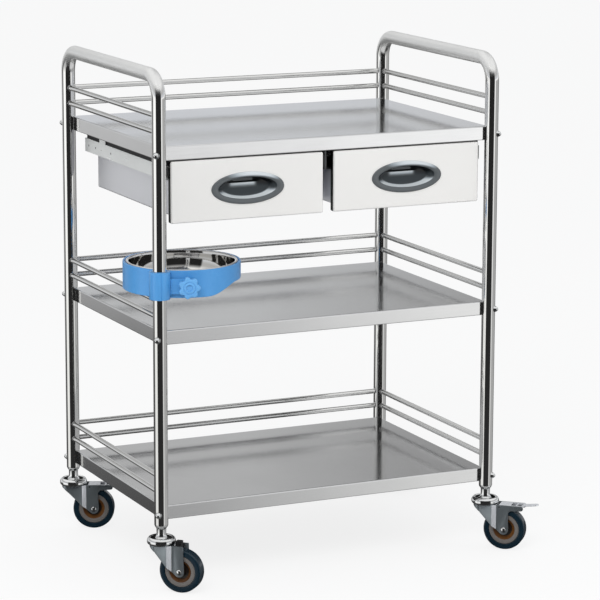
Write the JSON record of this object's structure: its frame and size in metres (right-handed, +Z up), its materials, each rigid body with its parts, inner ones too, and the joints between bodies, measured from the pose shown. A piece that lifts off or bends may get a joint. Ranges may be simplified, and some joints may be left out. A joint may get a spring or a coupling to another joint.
{
  "type": "dressing trolley",
  "caption": "Stainless steel ward trolley: railed shelves between tubular side frames, sliding drawers with oval pulls, swivel casters with brakes, and a clamped bowl holder that swings.",
  "frame": {"origin": "on the floor, below the centre of the whole object's bounding box", "axes": "+Z up, +X to the right along the width, -Y towards the open front with the drawer pulls"},
  "size_m": [0.7636, 0.5422, 0.9354],
  "materials": {
    "polished_tube": "mirror polished",
    "brushed_sheet": "fine brushed",
    "drawer_sheet": "fine brushed",
    "zinc_plate": "bright plated",
    "slide_steel": "zinc plated",
    "pull_plastic": "satin",
    "tyre_rubber": "satin",
    "hub_plastic": "satin",
    "black_rubber": "matt",
    "holder_plastic": "satin moulded",
    "bowl_steel": "polished"
  },
  "bodies": {
    "frame": {"left_frame": "polished_tube", "rail_back_bottom_high": "polished_tube", "rail_back_bottom_low": "polished_tube", "rail_back_middle_high": "polished_tube", "rail_back_middle_low": "polished_tube", "rail_back_top_high": "polished_tube", "rail_back_top_low": "polished_tube", "rail_left_bottom_high": "polished_tube", "rail_left_bottom_low": "polished_tube", "rail_left_middle_high": "polished_tube", "rail_left_middle_low": "polished_tube", "rail_left_top_high": "polished_tube", "rail_left_top_low": "polished_tube", "rail_right_bottom_high": "polished_tube", "rail_right_bottom_low": "polished_tube", "rail_right_middle_high": "polished_tube", "rail_right_middle_low": "polished_tube", "rail_right_top_high": "polished_tube", "rail_right_top_low": "polished_tube", "right_frame": "polished_tube", "shelf_bottom": "brushed_sheet", "shelf_middle": "brushed_sheet", "shelf_top": "brushed_sheet", "slide_channel_left_inner": "slide_steel", "slide_channel_left_outer": "slide_steel", "slide_channel_right_inner": "slide_steel", "slide_channel_right_outer": "slide_steel", "slide_hanger": "slide_steel", "stem_back_left": "zinc_plate", "stem_back_right": "zinc_plate", "stem_front_left": "zinc_plate", "stem_front_right": "zinc_plate"},
    "drawer_left": {"drawer_box_left": "drawer_sheet", "drawer_front_left": "drawer_sheet", "pull_left": "pull_plastic", "slide_runner_left_inner": "slide_steel", "slide_runner_left_outer": "slide_steel"},
    "drawer_right": {"drawer_box_right": "drawer_sheet", "drawer_front_right": "drawer_sheet", "pull_right": "pull_plastic", "slide_runner_right_inner": "slide_steel", "slide_runner_right_outer": "slide_steel"},
    "swivel_front_left": {"fork_front_left": "zinc_plate", "rubber_block_front_left": "black_rubber"},
    "wheel_front_left": {"hub_front_left": "hub_plastic", "tyre_front_left": "tyre_rubber"},
    "swivel_front_right": {"fork_front_right": "zinc_plate"},
    "wheel_front_right": {"hub_front_right": "hub_plastic", "tyre_front_right": "tyre_rubber"},
    "pedal_front_right": {"pedal_front_right": "zinc_plate"},
    "swivel_back_left": {"fork_back_left": "zinc_plate"},
    "wheel_back_left": {"hub_back_left": "hub_plastic", "tyre_back_left": "tyre_rubber"},
    "pedal_back_left": {"pedal_back_left": "zinc_plate"},
    "swivel_back_right": {"fork_back_right": "zinc_plate"},
    "wheel_back_right": {"hub_back_right": "hub_plastic", "tyre_back_right": "tyre_rubber"},
    "bowl_holder": {"bowl_holder": "holder_plastic"},
    "clamp_knob": {"clamp_knob": "holder_plastic"},
    "bowl": {"bowl": "bowl_steel"}
  },
  "joints": [
    {"name": "drawer_left_slide", "type": "slide", "parent": "frame", "child": "drawer_left", "axis": [0, -1, 0], "range_m": [0, 0.26]},
    {"name": "drawer_right_slide", "type": "slide", "parent": "frame", "child": "drawer_right", "axis": [0, -1, 0], "range_m": [0, 0.26]},
    {"name": "swivel_front_left", "type": "hinge", "parent": "frame", "child": "swivel_front_left", "pos_m": [-0.35496, -0.19988, 0.091], "axis": [0, 0, 1], "continuous": true},
    {"name": "wheel_front_left_spin", "type": "hinge", "parent": "swivel_front_left", "child": "wheel_front_left", "pos_m": [-0.32691, -0.22697, 0.0395], "axis": [0.6947, 0.7193, 0], "continuous": true},
    {"name": "swivel_front_right", "type": "hinge", "parent": "frame", "child": "swivel_front_right", "pos_m": [0.30354, -0.19988, 0.091], "axis": [0, 0, 1], "continuous": true},
    {"name": "wheel_front_right_spin", "type": "hinge", "parent": "swivel_front_right", "child": "wheel_front_right", "pos_m": [0.33252, -0.22597, 0.0395], "axis": [0.6691, 0.7431, 0], "continuous": true},
    {"name": "brake_front_right", "type": "hinge", "parent": "swivel_front_right", "child": "pedal_front_right", "pos_m": [0.32658, -0.22062, 0.0835], "axis": [0.6691, 0.7431, 0], "range_deg": [0, 6]},
    {"name": "swivel_back_left", "type": "hinge", "parent": "frame", "child": "swivel_back_left", "pos_m": [-0.35496, 0.24512, 0.091], "axis": [0, 0, 1], "continuous": true},
    {"name": "wheel_back_left_spin", "type": "hinge", "parent": "swivel_back_left", "child": "wheel_back_left", "pos_m": [-0.31933, 0.22926, 0.0395], "axis": [0.4067, 0.9135, 0], "continuous": true},
    {"name": "brake_back_left", "type": "hinge", "parent": "swivel_back_left", "child": "pedal_back_left", "pos_m": [-0.32664, 0.23251, 0.0835], "axis": [0.4067, 0.9135, 0], "range_deg": [0, 6]},
    {"name": "swivel_back_right", "type": "hinge", "parent": "frame", "child": "swivel_back_right", "pos_m": [0.30354, 0.24512, 0.091], "axis": [0, 0, 1], "continuous": true},
    {"name": "wheel_back_right_spin", "type": "hinge", "parent": "swivel_back_right", "child": "wheel_back_right", "pos_m": [0.34019, 0.23178, 0.0395], "axis": [0.342, 0.9397, 0], "continuous": true},
    {"name": "holder_swing", "type": "hinge", "parent": "frame", "child": "bowl_holder", "pos_m": [-0.35496, -0.19988, 0.531], "axis": [0, 0, 1], "continuous": true},
    {"name": "knob_turn", "type": "hinge", "parent": "bowl_holder", "child": "clamp_knob", "pos_m": [-0.30617, -0.2124, 0.553], "axis": [-0.2857, -0.9583, 0], "continuous": true},
    {"name": "bowl_lift", "type": "slide", "parent": "bowl_holder", "child": "bowl", "axis": [0, 0, 1], "range_m": [0, 0.05]}
  ]
}
